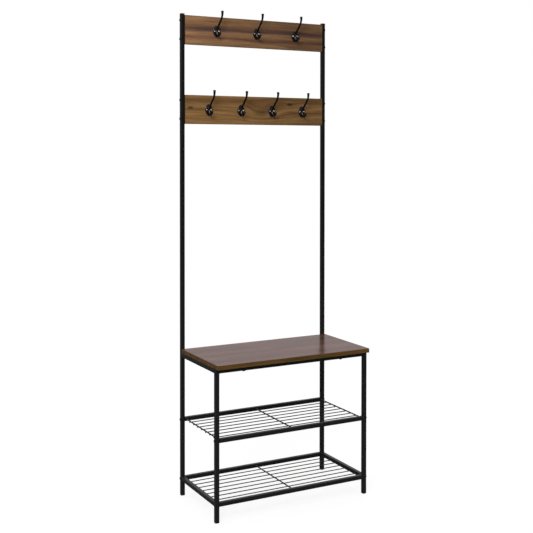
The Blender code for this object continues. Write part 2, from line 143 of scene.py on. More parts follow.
# Weld beads and nuggets, and the wires' own sizes.
BEAD_RADIUS = 0.0011
BEAD_INSET = 0.2 * BEAD_RADIUS
BEAD_SINK = 0.35 * BEAD_RADIUS
BEAD_CORNER = 0.0018
CORNER_POINTS = 4
NUGGET_RADIUS = 0.0024
NUGGET_FLATNESS = 0.45
LONG_WIRE_COUNT = 7
LONG_WIRE_PITCH = 0.035
LONG_WIRE = 0.0035
CROSS_WIRE = 0.0050

# Mesh clean-up: points closer than this are one, and edges sharper than these angles stay sharp.
MERGE_DISTANCE = 0.00001
CAD_MERGE_DISTANCE = 0.00002
TURNED_CREASE = math.radians(35)
CAD_CREASE = math.radians(50)

# Finishes: pairs of linear colours that each material wanders between. The coat is lighter under the
# one height and darker over the other: painted light from the floor.
COAT_HIGH = ((0.0010, 0.0012, 0.0014), (0.0032, 0.0034, 0.0036))
COAT_LOW_PAINTED_LIGHT = ((0.0066, 0.0071, 0.0080), (0.0120, 0.0126, 0.0136))
PAINTED_LIGHT_FULL_UNDER = 0.15
PAINTED_LIGHT_NONE_OVER = 1.25
PLASTIC_TONES = ((0.002, 0.002, 0.002), (0.005, 0.005, 0.005))
CAST_TONES = ((0.016, 0.0145, 0.014), (0.034, 0.024, 0.017))
NICKEL_TONES = ((0.36, 0.345, 0.32), (0.56, 0.54, 0.51))
ZINC_TONES = ((0.014, 0.014, 0.016), (0.034, 0.034, 0.033))

# A painted highlight on the ridge down the hook's plate: its colour, the half widths where it is full
# and where it has gone, and the places along an axis where it has gone and where it is full.
RIDGE_HIGHLIGHT_TONE = (0.105, 0.100, 0.095)
RIDGE_FULL = 0.0008
RIDGE_GONE = 0.0022
RIDGE_FADES = (
    ("Z", -0.0145, -0.0100),
    ("Z", 0.0085, 0.0050),
    ("Y", -0.0052, -0.0060),
    ("Y", -0.0120, -0.0100),
)

# Walnut: colours, then for each board the bands across it from its lower or front edge, its knots
# and its streaks. walnut() says what each number in a row is.
GOLD = (0.222, 0.118, 0.052)
AMBER = (0.248, 0.135, 0.063)
BROWN = (0.186, 0.096, 0.048)
RED_BROWN = (0.138, 0.064, 0.038)
PLUM = (0.104, 0.056, 0.038)
PLUM_GREY = (0.062, 0.036, 0.032)
DARK_RED = (0.078, 0.030, 0.018)
LOWER_GOLD = (0.202, 0.107, 0.038)
LOWER_AMBER = (0.232, 0.126, 0.046)
LOWER_BROWN = (0.158, 0.079, 0.028)
LOWER_DARK = (0.058, 0.028, 0.011)
SEAT_RED = (0.074, 0.032, 0.020)
SEAT_BROWN = (0.048, 0.024, 0.015)
SEAT_DARK = (0.026, 0.014, 0.009)
SEAT_EDGE = (0.112, 0.058, 0.016)
PANEL_EDGE = (0.120, 0.068, 0.028)
UPPER_BANDS = (
    (0.00, GOLD), (0.12, AMBER), (0.26, RED_BROWN), (0.33, BROWN), (0.41, AMBER), (0.50, BROWN),
    (0.57, PLUM), (0.64, RED_BROWN), (0.73, BROWN), (0.82, GOLD), (0.93, AMBER), (1.00, BROWN),
)
UPPER_KNOTS = ((-0.02, 0.90, 0.014, 0.05, 0.0), (0.19, 0.15, 0.016, 0.06, 0.0))
UPPER_STREAKS = (
    (0.535, 0.105, -0.262, -0.120, 1.00, PLUM_GREY),
    (0.540, 0.060, -0.110, 0.030, 0.55, PLUM_GREY),
    (0.580, 0.085, 0.035, 0.330, 1.00, PLUM_GREY),
    (0.255, 0.070, -0.100, 0.090, 0.60, DARK_RED),
    (0.280, 0.080, 0.100, 0.330, 1.00, DARK_RED),
    (0.830, 0.050, -0.220, -0.060, 0.45, RED_BROWN),
    (0.690, 0.040, -0.180, 0.060, 0.45, PLUM),
    (0.860, 0.035, 0.060, 0.240, 0.60, RED_BROWN),
    (0.080, 0.045, 0.130, 0.330, 0.60, RED_BROWN),
)
LOWER_BANDS = (
    (0.00, LOWER_BROWN), (0.06, LOWER_AMBER), (0.22, LOWER_GOLD), (0.34, LOWER_AMBER), (0.45, LOWER_BROWN),
    (0.56, LOWER_GOLD), (0.68, LOWER_AMBER), (0.80, LOWER_BROWN), (0.92, LOWER_GOLD), (1.00, LOWER_BROWN),
)
LOWER_KNOTS = (
    (-0.277, 0.56, 0.0072, 0.03, 0.85),
    (0.1485, 0.75, 0.0080, 0.05, 0.95),
    (0.022, 0.40, 0.0170, 0.26, 0.35),
)
LOWER_STREAKS = (
    (0.445, 0.050, 0.150, 0.330, 0.90, LOWER_DARK),
    (0.050, 0.085, 0.150, 0.330, 0.90, LOWER_DARK),
    (0.600, 0.042, -0.190, -0.080, 0.70, LOWER_DARK),
    (0.500, 0.036, -0.270, -0.160, 0.55, LOWER_DARK),
    (0.900, 0.050, 0.060, 0.300, 0.55, LOWER_DARK),
    (0.260, 0.038, 0.040, 0.160, 0.60, LOWER_DARK),
    (0.330, 0.036, -0.230, -0.060, 0.50, LOWER_DARK),
    (0.740, 0.060, 0.115, 0.185, 0.60, DARK_RED),
)
SEAT_BANDS = (
    (0.00, SEAT_RED), (0.15, SEAT_BROWN), (0.30, SEAT_RED), (0.48, SEAT_BROWN), (0.60, SEAT_RED),
    (0.78, SEAT_BROWN), (1.00, SEAT_RED),
)
SEAT_KNOTS = ((-0.09, 0.62, 0.030, 0.10, 0.0),)
SEAT_STREAKS = (
    (0.330, 0.035, -0.250, 0.050, 0.80, SEAT_DARK),
    (0.560, 0.045, 0.000, 0.330, 0.70, SEAT_DARK),
    (0.180, 0.030, -0.100, 0.250, 0.70, SEAT_DARK),
    (0.430, 0.025, -0.300, -0.120, 0.60, SEAT_DARK),
)
WOOD_SPECULAR = 0.12
WANDER_PER_METRE = 2.3
LINE_SWAY = 0.30
STREAK_SWAY = 0.10
STREAK_FADE = 0.030
KNOT_FLATNESS = 0.40
KNOT_REACH = 3.2
# Each board's last pair is how bright its left and right ends are: painted light from the left, and partly
# the wood's own tone.
BOARDS = {
    "upper_hook_panel": {
        "seed": 3.1,
        "across": "Z",
        "bands": UPPER_BANDS,
        "knots": UPPER_KNOTS,
        "streaks": UPPER_STREAKS,
        "gloss": 0.48,
        "edge_tone": PANEL_EDGE,
        "end_light_and_tone": (1.08, 0.66),
    },
    "lower_hook_panel": {
        "seed": 8.7,
        "across": "Z",
        "bands": LOWER_BANDS,
        "knots": LOWER_KNOTS,
        "streaks": LOWER_STREAKS,
        "gloss": 0.48,
        "edge_tone": PANEL_EDGE,
        "end_light_and_tone": (1.05, 0.78),
    },
    "seat_board": {
        "seed": 5.3,
        "across": "Y",
        "bands": SEAT_BANDS,
        "knots": SEAT_KNOTS,
        "streaks": SEAT_STREAKS,
        "gloss": 0.22,
        "edge_tone": SEAT_EDGE,
        "end_light_and_tone": (1.10, 0.95),
    },
}


# Node trees.

class Graph:
    """Short calls that add nodes to one material's tree.

    colour and roughness are the plain values under the nodes that a material then links to them.
    """

    def __init__(self, name, colour, metallic, roughness):
        self.material = bpy.data.materials.new(name)
        self.material.use_nodes = True
        self.tree = self.material.node_tree
        self.shader = self.tree.nodes["Principled BSDF"]
        self.set("Base Color", (*colour, 1.0))
        self.set("Metallic", metallic)
        self.set("Roughness", roughness)
        self.place = self.add("ShaderNodeTexCoord").outputs["Object"]

    def add(self, kind):
        return self.tree.nodes.new(kind)

    def feed(self, socket, value):
        if isinstance(value, bpy.types.NodeSocket):
            self.tree.links.new(value, socket)
        else:
            socket.default_value = value

    def set(self, name, value):
        self.feed(self.shader.inputs[name], value)

    def math(self, operation, first, second=0.0):
        node = self.add("ShaderNodeMath")
        node.operation = operation
        self.feed(node.inputs[0], first)
        self.feed(node.inputs[1], second)
        return node.outputs[0]

    def plus(self, first, second):
        return self.math("ADD", first, second)

    def minus(self, first, second):
        return self.math("SUBTRACT", first, second)

    def times(self, first, second):
        return self.math("MULTIPLY", first, second)

    def stretch(self, vector, factors):
        """The vector times a factor for each axis, or one factor for all three."""
        node = self.add("ShaderNodeVectorMath")
        node.operation = "MULTIPLY"
        self.feed(node.inputs[0], vector)
        self.feed(node.inputs[1], factors if isinstance(factors, tuple) else (factors, factors, factors))
        return node.outputs["Vector"]

    def length(self, vector):
        node = self.add("ShaderNodeVectorMath")
        node.operation = "LENGTH"
        self.feed(node.inputs[0], vector)
        return node.outputs["Value"]

    def noise(self, vector, detail, roughness, distortion=0.0):
        node = self.add("ShaderNodeTexNoise")
        node.inputs["Scale"].default_value = 1.0
        node.inputs["Detail"].default_value = detail
        node.inputs["Roughness"].default_value = roughness
        node.inputs["Distortion"].default_value = distortion
        self.feed(node.inputs["Vector"], vector)
        return node.outputs["Fac"]

    def speckle(self, per_metre, detail, roughness):
        """Noise on the object itself, with about so many features a metre."""
        return self.noise(self.stretch(self.place, per_metre), detail, roughness)

    def step(self, value, low, high, first=0.0, last=1.0):
        """A smooth step: first at low and beyond, last at high and beyond. low may be the greater."""
        node = self.add("ShaderNodeMapRange")
        node.interpolation_type = "SMOOTHSTEP"
        self.feed(node.inputs["Value"], value)
        node.inputs["From Min"].default_value = low
        node.inputs["From Max"].default_value = high
        node.inputs["To Min"].default_value = first
        node.inputs["To Max"].default_value = last
        return node.outputs["Result"]

    def mix(self, factor, first, second):
        """The first colour where factor is 0, and the second where it is 1."""
        node = self.add("ShaderNodeMix")
        node.data_type = "RGBA"
        self.feed(node.inputs["Factor"], factor)
        for socket in node.inputs:
            if socket.type == "RGBA":
                colour = first if socket.name == "A" else second
                self.feed(socket, colour if isinstance(colour, bpy.types.NodeSocket) else (*colour, 1.0))
        return [socket for socket in node.outputs if socket.type == "RGBA"][0]

    def ramp(self, value, stops):
        """A colour for each value, through (value, colour) stops."""
        node = self.add("ShaderNodeValToRGB")
        node.color_ramp.interpolation = "EASE"
        elements = node.color_ramp.elements
        while len(elements) < len(stops):
            elements.new(0.5)
        for element, (position, colour) in zip(elements, stops):
            element.position = position
            element.color = (*colour, 1.0)
        self.feed(node.inputs["Fac"], value)
        return node.outputs["Color"]

    def scale(self, colour, value):
        node = self.add("ShaderNodeVectorMath")
        node.operation = "SCALE"
        self.feed(node.inputs[0], colour)
        self.feed(node.inputs["Scale"], value)
        return node.outputs["Vector"]

    def parts(self, vector):
        node = self.add("ShaderNodeSeparateXYZ")
        self.feed(node.inputs[0], vector)
        return node.outputs

    def combine(self, x, y, z):
        node = self.add("ShaderNodeCombineXYZ")
        for socket, value in zip(node.inputs, (x, y, z)):
            self.feed(socket, value)
        return node.outputs[0]

    def bump(self, height, distance):
        node = self.add("ShaderNodeBump")
        node.inputs["Strength"].default_value = 1.0
        node.inputs["Distance"].default_value = distance
        self.feed(node.inputs["Height"], height)
        self.set("Normal", node.outputs["Normal"])


def powder_coat():
    """Satin black powder coat: fine orange peel, patches that shine more, and painted floor light that makes
    it lighter low down.
    """
    graph = Graph("satin_powder_coat", (0.005, 0.005, 0.0055), 0.0, 0.45)
    graph.set("Specular IOR Level", 0.20)
    patches = graph.speckle(24.0, detail=4.0, roughness=0.6)
    peel = graph.speckle(900.0, detail=2.0, roughness=0.5)
    dust = graph.speckle(160.0, detail=5.0, roughness=0.7)
    height = graph.parts(graph.place)["Z"]
    high_coat = graph.mix(graph.step(dust, 0.52, 0.75), *COAT_HIGH)
    low_painted_light = graph.mix(graph.step(dust, 0.40, 0.70), *COAT_LOW_PAINTED_LIGHT)
    # Painted floor light: the coat is lighter towards the floor and darker higher up.
    graph.set("Base Color", graph.mix(graph.step(height, PAINTED_LIGHT_FULL_UNDER, PAINTED_LIGHT_NONE_OVER), low_painted_light, high_coat))
    graph.set("Roughness", graph.step(patches, 0.3, 0.7, first=0.36, last=0.50))
    graph.bump(peel, distance=0.00003)
    return graph.material


def black_plastic():
    """Moulded plastic with a fine grain."""
    graph = Graph("moulded_black_plastic", (0.003, 0.003, 0.003), 0.0, 0.55)
    grain = graph.speckle(1500.0, detail=2.0, roughness=0.6)
    wear = graph.speckle(120.0, detail=4.0, roughness=0.6)
    graph.set("Base Color", graph.mix(wear, *PLASTIC_TONES))
    graph.set("Roughness", graph.step(wear, 0.3, 0.7, first=0.50, last=0.62))
    graph.bump(grain, distance=0.00002)
    return graph.material


def cast_metal():
    """Black nickel on a casting: a soft ripple, brown where it is thin, and a painted highlight on the
    plate's ridge.

    The casting's origin is on the panel, on the line of its screws, and its front is along -Y.
    """
    graph = Graph("black_nickel_casting", (0.02, 0.018, 0.016), 0.85, 0.32)
    thin = graph.speckle(260.0, detail=4.0, roughness=0.6)
    ripple = graph.speckle(420.0, detail=3.0, roughness=0.5)
    plated = graph.mix(graph.step(thin, 0.45, 0.72), *CAST_TONES)
    place = graph.parts(graph.place)
    # Painted highlight: a lighter streak down the middle of the plate's ridge.
    painted_highlight = graph.step(graph.math("ABSOLUTE", place["X"]), RIDGE_FULL, RIDGE_GONE, first=1.0, last=0.0)
    for axis, gone, full in RIDGE_FADES:
        painted_highlight = graph.times(painted_highlight, graph.step(place[axis], gone, full))
    graph.set("Base Color", graph.mix(painted_highlight, plated, RIDGE_HIGHLIGHT_TONE))
    graph.set("Roughness", graph.step(ripple, 0.3, 0.7, first=0.17, last=0.27))
    graph.bump(ripple, distance=0.00004)
    return graph.material


def bright_nickel():
    """Bright screw heads with the fine rings left by turning."""
    graph = Graph("bright_nickel", (0.60, 0.58, 0.54), 1.0, 0.30)
    rings = graph.speckle((4000.0, 500.0, 500.0), detail=2.0, roughness=0.5)
    graph.set("Base Color", graph.mix(rings, *NICKEL_TONES))
    graph.set("Roughness", graph.step(rings, 0.3, 0.7, first=0.24, last=0.38))
    graph.bump(rings, distance=0.00001)
    return graph.material


def black_zinc():
    """Bolt heads in black zinc, with a slight grey bloom."""
    graph = Graph("black_zinc", (0.02, 0.02, 0.021), 0.7, 0.40)
    bloom = graph.speckle(350.0, detail=3.0, roughness=0.6)
    graph.set("Base Color", graph.mix(graph.step(bloom, 0.4, 0.7), *ZINC_TONES))
    graph.set("Roughness", graph.step(bloom, 0.3, 0.7, first=0.34, last=0.48))
    graph.bump(bloom, distance=0.00002)
    return graph.material


def grain_lines(graph, x, share, size, wander, knots):
    """Which grain line each point is on, arched over each knot, and how dark the knots' cores are."""
    line = graph.plus(share, graph.times(graph.minus(wander, 0.5), LINE_SWAY))
    core = 0.0
    for knot_x, middle, radius, lift, darkness in knots:
        side = graph.times(graph.minus(x, knot_x), KNOT_FLATNESS)
        rise = graph.times(graph.minus(share, middle), size)
        distance = graph.length(graph.combine(side, rise, 0.0))
        line = graph.plus(line, graph.step(distance, 0.0, KNOT_REACH * radius, lift, 0.0))
        core = graph.math("MAXIMUM", core, graph.step(distance, 0.25 * radius, radius, darkness, 0.0))
    return line, core


def streaked(graph, colour, x, sway, broad, streaks):
    """The colour with each streak over it, weaker where the broad figure is light."""
    patches = graph.step(broad, 0.25, 0.60, first=1.0, last=0.45)
    for middle, half, start_x, end_x, strength, tone in streaks:
        away = graph.math("ABSOLUTE", graph.minus(sway, middle))
        body = graph.times(graph.step(away, 0.25 * half, half, strength, 0.0), patches)
        begin = graph.step(x, start_x - STREAK_FADE, start_x + STREAK_FADE)
        finish = graph.step(x, end_x - STREAK_FADE, end_x + STREAK_FADE, first=1.0, last=0.0)
        colour = graph.mix(graph.times(graph.times(begin, finish), body), colour, tone)
    return colour


def darker(colour, factor):
    return tuple(factor * part for part in colour)


def walnut(name, box, seed, across, bands, knots, streaks, gloss, edge_tone, end_light_and_tone):
    """Walnut laminate, with its grain along X and the given bands of colour across it.

    box is the board's corners, and across the axis that its broad face spans besides X. Each band
    is (share of the way across, colour). Each knot is (x, share, radius, lift, darkness): its lift
    carries the grain lines over it in an arch. Each streak is (share, half height, from x, to x,
    strength, colour), its half height a share too. gloss is the roughness, and the last argument is
    how bright the left and right ends are: painted light from the left, and partly the wood's own
    tone. The faces that look along the third axis keep the bands, and the others are edge banding in
    edge_tone.
    """
    through = "Z" if across == "Y" else "Y"
    graph = Graph(name, bands[0][1], 0.0, gloss)
    graph.set("Specular IOR Level", WOOD_SPECULAR)
    low, high = box
    axis = ("X", "Y", "Z").index(across)
    size = (high - low)[axis]
    place = graph.parts(graph.place)
    share = graph.math("DIVIDE", graph.minus(place[across], low[axis]), size)
    drift = graph.combine(graph.times(place["X"], WANDER_PER_METRE), share, seed)
    wander = graph.noise(drift, detail=2.0, roughness=0.5)
    line, core = grain_lines(graph, place["X"], share, size, wander, knots)

    def grain(along, over, detail, roughness):
        """Noise drawn out along X: so many features a metre along, and over the board's breadth."""
        first = graph.times(place["X"], along)
        second = graph.times(line, over)
        third = graph.plus(graph.times(place[through], over / size), seed)
        return graph.noise(graph.combine(first, second, third), detail, roughness, distortion=0.2)

    colour = graph.ramp(line, bands)
    broad = grain(2.6, 5.0, detail=3.0, roughness=0.55)
    colour = graph.scale(colour, graph.step(broad, 0.30, 0.70, first=0.78, last=1.24))
    stripes = grain(3.4, 11.0, detail=3.0, roughness=0.55)
    colour = graph.scale(colour, graph.step(stripes, 0.32, 0.68, first=0.89, last=1.11))
    lines = grain(4.5, 19.0, detail=4.0, roughness=0.62)
    dark = darker(bands[0][1], 0.42)
    colour = graph.mix(graph.step(lines, 0.50, 0.74, first=0.0, last=0.72), colour, dark)
    sway = graph.plus(share, graph.times(graph.minus(wander, 0.5), STREAK_SWAY))
    colour = streaked(graph, colour, place["X"], sway, broad, streaks)
    hairs = grain(9.0, 48.0, detail=3.0, roughness=0.6)
    colour = graph.scale(colour, graph.step(hairs, 0.32, 0.68, first=0.82, last=1.14))
    fibres = graph.speckle((45.0, 1300.0, 1300.0), detail=2.0, roughness=0.6)
    colour = graph.scale(colour, graph.step(fibres, 0.30, 0.70, first=0.88, last=1.08))
    pores = graph.step(graph.speckle((120.0, 2300.0, 2300.0), detail=1.0, roughness=0.5), 0.65, 0.74)
    colour = graph.mix(graph.times(pores, 0.6), colour, dark)
    colour = graph.mix(core, colour, darker(bands[0][1], 0.22))
    # Painted light from the left, and partly the wood's own tone: brighter at the board's left end, darker
    # at its right.
    colour = graph.scale(colour, graph.step(place["X"], low.x, high.x, *end_light_and_tone))

    facing = graph.parts(graph.add("ShaderNodeNewGeometry").outputs["Normal"])[through]
    is_edge = graph.step(graph.math("ABSOLUTE", facing), 0.45, 0.80, first=1.0, last=0.0)
    banding = graph.mix(graph.step(lines, 0.35, 0.70), edge_tone, darker(edge_tone, 0.55))
    banding = graph.scale(banding, graph.step(fibres, 0.30, 0.70, first=0.85, last=1.10))
    graph.set("Base Color", graph.mix(is_edge, colour, banding))

    sheen = graph.step(fibres, 0.30, 0.70, first=gloss - 0.03, last=gloss + 0.03)
    sheen = graph.plus(sheen, graph.times(pores, 0.15))
    graph.set("Roughness", graph.plus(sheen, graph.times(is_edge, 0.20)))
    graph.bump(graph.minus(graph.times(fibres, 0.4), pores), distance=0.000025)
    return graph.material


POWDER_COAT = powder_coat()
PLASTIC = black_plastic()
CAST_METAL = cast_metal()
NICKEL = bright_nickel()
ZINC = black_zinc()


# Pieces.

def finish_piece(piece, material):
    """Gives a new piece its material and the body it rides on."""
    piece.data.materials.clear()
    piece.data.materials.append(material)
    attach(piece, BODY)


def new_piece(name, mesh, placement):
    piece = bpy.data.objects.new(name, mesh)
    bpy.context.scene.collection.objects.link(piece)
    piece.matrix_world = placement
    return piece


def baked_mesh(piece, name):
    """The piece's mesh with its modifiers or bevel worked out. The piece itself is removed."""
    bpy.context.view_layer.update()
    graph = bpy.context.evaluated_depsgraph_get()
    mesh = bpy.data.meshes.new_from_object(piece.evaluated_get(graph), depsgraph=graph)
    mesh.name = name
    bpy.data.objects.remove(piece, do_unlink=True)
    return mesh


def carried_over(names, material):
    """CAD nodes that stay: the finer material, and smooth shading that leaves flat faces flat."""
    for name in names:
        node = NODES[name]
        node.data.materials.clear()
        node.data.materials.append(material)
        node.data.attributes.remove(node.data.attributes["custom_normal"])
        node.data.shade_smooth()
        weld = node.modifiers.new("weld", "WELD")
        weld.merge_threshold = CAD_MERGE_DISTANCE
        split = node.modifiers.new("sharp_edges", "EDGE_SPLIT")
        split.split_angle = CAD_CREASE
        node.modifiers.new("flat_faces", "WEIGHTED_NORMAL")


def named(*starts):
    """The CAD nodes whose names start with any of these, in order."""
    return sorted(name for name in NODES if name.startswith(starts))


def plate_mesh():
    """The hook's plate: rings of points that rise from the rim to the crown, and a flat back."""
    builder = bmesh.new()
    rings = []
    for ring in range(PLATE_RINGS + 1):
        share = 1.0 - ring / (PLATE_RINGS + 1)
        depth = PLATE_RIM + (PLATE_CROWN - PLATE_RIM) * (1.0 - share**2)
        rings.append((share, depth))
    rings.insert(0, (1.0, PLATE_BACK))
    loops = []
    for share, depth in rings:
        loop = []
        for number in range(PLATE_POINTS):
            angle = 2 * math.pi * number / PLATE_POINTS
            reach = PLATE_TOP if math.sin(angle) > 0 else PLATE_BOTTOM
            half_width = PLATE_HALF_WIDTH * (1 - PLATE_TAPER * math.sin(angle) ** 2)
            across = share * half_width * math.cos(angle)
            up = share * reach * math.sin(angle)
            loop.append(builder.verts.new((across, -depth, up)))
        loops.append(loop)
    for outer, inner in zip(loops, loops[1:]):
        for number in range(PLATE_POINTS):
            following = (number + 1) % PLATE_POINTS
            builder.faces.new((outer[number], outer[following], inner[following], inner[number]))
    builder.faces.new(loops[-1])
    builder.faces.new(list(reversed(loops[0])))
    bmesh.ops.recalc_face_normals(builder, faces=builder.faces)
    mesh = bpy.data.meshes.new("plate")
    builder.to_mesh(mesh)
    builder.free()
    return mesh


def prong_mesh(name, route):
    """A round prong through (forward, up, radius) points, closed at both ends."""
    curve = bpy.data.curves.new(name, "CURVE")
    curve.dimensions = "3D"
    curve.bevel_depth = 1.0
    curve.bevel_resolution = 6
    curve.resolution_u = 10
    curve.use_fill_caps = True
    spline = curve.splines.new("BEZIER")
    spline.bezier_points.add(len(route) - 1)
    for point, (forward, up, radius) in zip(spline.bezier_points, route):
        point.co = (0.0, -forward, up)
        point.radius = radius
        point.handle_left_type = "AUTO"
        point.handle_right_type = "AUTO"
    return baked_mesh(new_piece(name, curve, Matrix.Identity(4)), name)


def hook_mesh():
    """One casting: plate, both prongs and a ball, melted together so that they meet in fillets."""
    builder = bmesh.new()
    builder.from_mesh(plate_mesh())
    builder.from_mesh(prong_mesh("upper_prong", UPPER_PRONG))
    builder.from_mesh(prong_mesh("lower_prong", LOWER_PRONG))
    ball_forward, ball_up, _ = LOWER_PRONG[-1]
    ball = Matrix.Translation((0.0, -ball_forward, ball_up))
    bmesh.ops.create_uvsphere(builder, u_segments=32, v_segments=20, radius=TIP_RADIUS, matrix=ball)
    bmesh.ops.remove_doubles(builder, verts=builder.verts, dist=MERGE_DISTANCE)
    loose = bpy.data.meshes.new("hook_parts")
    builder.to_mesh(loose)
    builder.free()
    hook = new_piece("hook_melt", loose, Matrix.Identity(4))
    remesh = hook.modifiers.new("melt", "REMESH")
    remesh.mode = "VOXEL"
    remesh.voxel_size = HOOK_VOXEL
    smooth = hook.modifiers.new("fillets", "SMOOTH")
    smooth.factor = 0.5
    smooth.iterations = HOOK_SMOOTHING
    mesh = baked_mesh(hook, "coat_hook_casting")
    mesh.shade_smooth()
    return mesh


def turned_mesh(name, outline):
    """A solid of revolution about Z through the outline's (radius, height) points, top first."""
    profile = bpy.data.meshes.new(name)
    edges = [(number, number + 1) for number in range(len(outline) - 1)]
    profile.from_pydata([(radius, 0.0, height) for radius, height in outline], edges, [])
    turned = new_piece(name, profile, Matrix.Identity(4))
    screw = turned.modifiers.new("turn", "SCREW")
    screw.steps = TURNED_STEPS
    screw.render_steps = TURNED_STEPS
    screw.use_merge_vertices = True
    screw.merge_threshold = MERGE_DISTANCE
    return turned


def dome(radius, height):
    """Outline points of an elliptical dome from its top down to its rim."""
    turns = [math.radians(90) * step / DOME_STEPS for step in range(DOME_STEPS + 1)]
    return [(radius * math.sin(turn), height * math.cos(turn)) for turn in turns]


def cut_with(piece, name, mesh, placement):
    """A Boolean cut out of the piece. The caller removes the cutter once the piece is baked."""
    cutter = new_piece(name, mesh, placement)
    modifier = piece.modifiers.new(name, "BOOLEAN")
    modifier.object = cutter
    modifier.operation = "DIFFERENCE"
    modifier.solver = "EXACT"
    return cutter


def primitive(name, maker, **sizes):
    builder = bmesh.new()
    maker(builder, **sizes)
    mesh = bpy.data.meshes.new(name)
    builder.to_mesh(mesh)
    builder.free()
    return mesh


def screw_mesh():
    """A domed screw head with a cross recess. Its rim is at the origin's height, and it faces +Z."""
    outline = dome(SCREW_RADIUS, SCREW_HEIGHT) + [(SCREW_RADIUS / 2, -SCREW_SINK), (0.0, -SCREW_SINK)]
    head = turned_mesh("screw_head", outline)
    cutters = []
    for number in range(2):
        arm = primitive("cross_arm", bmesh.ops.create_cube, size=1.0)
        size = Matrix.Diagonal((CROSS_LENGTH, CROSS_WIDTH, 2 * CROSS_DEPTH, 1.0))
        turn = Matrix.Rotation(math.radians(90 * number), 4, "Z")
        place = Matrix.Translation((0.0, 0.0, SCREW_HEIGHT)) @ turn @ size
        cutters.append(cut_with(head, "cross_arm_" + str(number), arm, place))
    mesh = baked_mesh(head, "hook_screw_head")
    for cutter in cutters:
        bpy.data.objects.remove(cutter, do_unlink=True)
    mesh.shade_smooth()
    mesh.set_sharp_from_angle(angle=TURNED_CREASE)
    return mesh


def bolt_mesh():
    """A button head with a hex socket and a short shank. It is seated at the origin and faces +Z."""
    crown = dome(BOLT_RADIUS, BOLT_HEIGHT - BOLT_RIM)
    outline = [(radius, height + BOLT_RIM) for radius, height in crown]
    outline += [(BOLT_RADIUS, 0.0), (SHANK_RADIUS, 0.0), (SHANK_RADIUS, -SHANK_LENGTH), (0.0, -SHANK_LENGTH)]
    head = turned_mesh("bolt_head", outline)
    socket = primitive(
        "socket",
        bmesh.ops.create_cone,
        cap_ends=True,
        segments=6,
        radius1=SOCKET_RADIUS,
        radius2=SOCKET_RADIUS,
        depth=2 * SOCKET_DEPTH,
    )
    cutter = cut_with(head, "socket", socket, Matrix.Translation((0.0, 0.0, BOLT_HEIGHT)))
    mesh = baked_mesh(head, "button_head_bolt")
    bpy.data.objects.remove(cutter, do_unlink=True)
    mesh.shade_smooth()
    mesh.set_sharp_from_angle(angle=TURNED_CREASE)
    return mesh


def coat_hooks():
    """A casting and its two screws for each CAD hook, on the middle line of its panel's face."""
    hook = hook_mesh()
    screw = screw_mesh()
    to_front = Matrix.Rotation(math.radians(90), 4, "X")
    hooks = [name for name in named("upper_hook_", "lower_hook_") if not name.endswith("panel")]
    for name in hooks:
        low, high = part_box(name)
        panel_low, panel_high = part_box(name.split("_")[0] + "_hook_panel")
        origin = Vector(((low.x + high.x) / 2, panel_low.y, (panel_low.z + panel_high.z) / 2))
        casting = new_piece(name + "_casting", hook, Matrix.Translation(origin))
        finish_piece(casting, CAST_METAL)
        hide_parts(name)
        for side, across in (("left", -SCREW_X), ("right", SCREW_X)):
            place = Matrix.Translation(origin + Vector((across, -SCREW_SEAT, SCREW_UP))) @ to_front
            head = new_piece("_".join((name, "screw", side)), screw, place)
            finish_piece(head, NICKEL)


def bolts():
    """Heads for the bolts, which face out on either side, and for the seat screws, which face down."""
    mesh = bolt_mesh()
    for name in named("upper_panel_bolt", "lower_panel_bolt", "middle_bolt", "bottom_bolt", "seat_screw"):
        low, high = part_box(name)
        centre = (low + high) / 2
        if name.startswith("seat_screw"):
            turn = Matrix.Rotation(math.radians(180), 4, "X")
            seat = Vector((centre.x, centre.y, low.z + BOLT_HEIGHT))
        elif centre.x < 0:
            turn = Matrix.Rotation(math.radians(-90), 4, "Y")
            seat = Vector((low.x + BOLT_HEIGHT, centre.y, centre.z))
        else:
            turn = Matrix.Rotation(math.radians(90), 4, "Y")
            seat = Vector((high.x - BOLT_HEIGHT, centre.y, centre.z))
        bolt = new_piece(name + "_head", mesh, Matrix.Translation(seat) @ turn)
        finish_piece(bolt, ZINC)
        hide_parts(name)


def bead_ring(name, centre, axis, half):
    """A weld bead round a tube's end: a thin wire on a rounded square, 2 half wide, that faces axis."""
    curve = bpy.data.curves.new(name, "CURVE")
    curve.dimensions = "3D"
    curve.bevel_depth = BEAD_RADIUS
    curve.bevel_resolution = 2
    spline = curve.splines.new("POLY")
    points = []
    for quarter in range(4):
        middle = math.radians(90 * quarter + 45)
        corner_x = math.copysign(half - BEAD_CORNER, math.cos(middle))
        corner_y = math.copysign(half - BEAD_CORNER, math.sin(middle))
        for part in range(CORNER_POINTS):
            angle = math.radians(90 * (quarter + part / (CORNER_POINTS - 1)))
            first = corner_x + BEAD_CORNER * math.cos(angle)
            second = corner_y + BEAD_CORNER * math.sin(angle)
            points.append((first, second))
    spline.points.add(len(points) - 1)
    for point, (first, second) in zip(spline.points, points):
        offset = (0.0, first, second) if axis == "X" else (first, 0.0, second)
        point.co = (*(Vector(centre) + Vector(offset)), 1.0)
    spline.use_cyclic_u = True
    mesh = baked_mesh(new_piece(name, curve, Matrix.Identity(4)), name)
    mesh.shade_smooth()
    finish_piece(new_piece(name, mesh, Matrix.Identity(4)), POWDER_COAT)


def frame_welds():
    """Beads at both ends of each welded rail, a little inside the rail's own end."""
    for name in named("bench_rail", "bottom_rail_left", "bottom_rail_right"):
        low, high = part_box(name)
        centre = (low + high) / 2
        size = high - low
        along_x = size.x > size.y
        half = size.z / 2 - BEAD_SINK
        for end, sign in (("a", -1), ("b", 1)):
            place = centre.copy()
            if along_x:
                place.x += sign * (size.x / 2 - BEAD_INSET)
            else:
                place.y += sign * (size.y / 2 - BEAD_INSET)
            bead_ring(name + "_bead_" + end, place, "X" if along_x else "Y", half)


